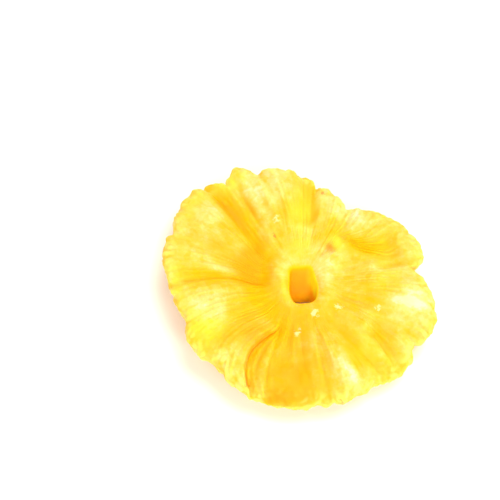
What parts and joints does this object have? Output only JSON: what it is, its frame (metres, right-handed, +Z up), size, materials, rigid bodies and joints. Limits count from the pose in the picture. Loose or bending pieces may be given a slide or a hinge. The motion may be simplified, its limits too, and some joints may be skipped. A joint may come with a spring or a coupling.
{
  "type": "dried pineapple ring",
  "caption": "Cored ring of dried pineapple with a scalloped, lifted rim, radial creases and a raised collar round its core hole.",
  "frame": {"origin": "centre of the bounding box, on the surface the ring lies on", "axes": "+Z up through the core hole, +Y towards the ring's far side as it is looked at, +X to its right"},
  "size_m": [0.0794, 0.0778, 0.0135],
  "materials": {
    "dried_flesh": "moist satin"
  },
  "bodies": {
    "root": {"pineapple_ring": "dried_flesh"}
  },
  "joints": []
}
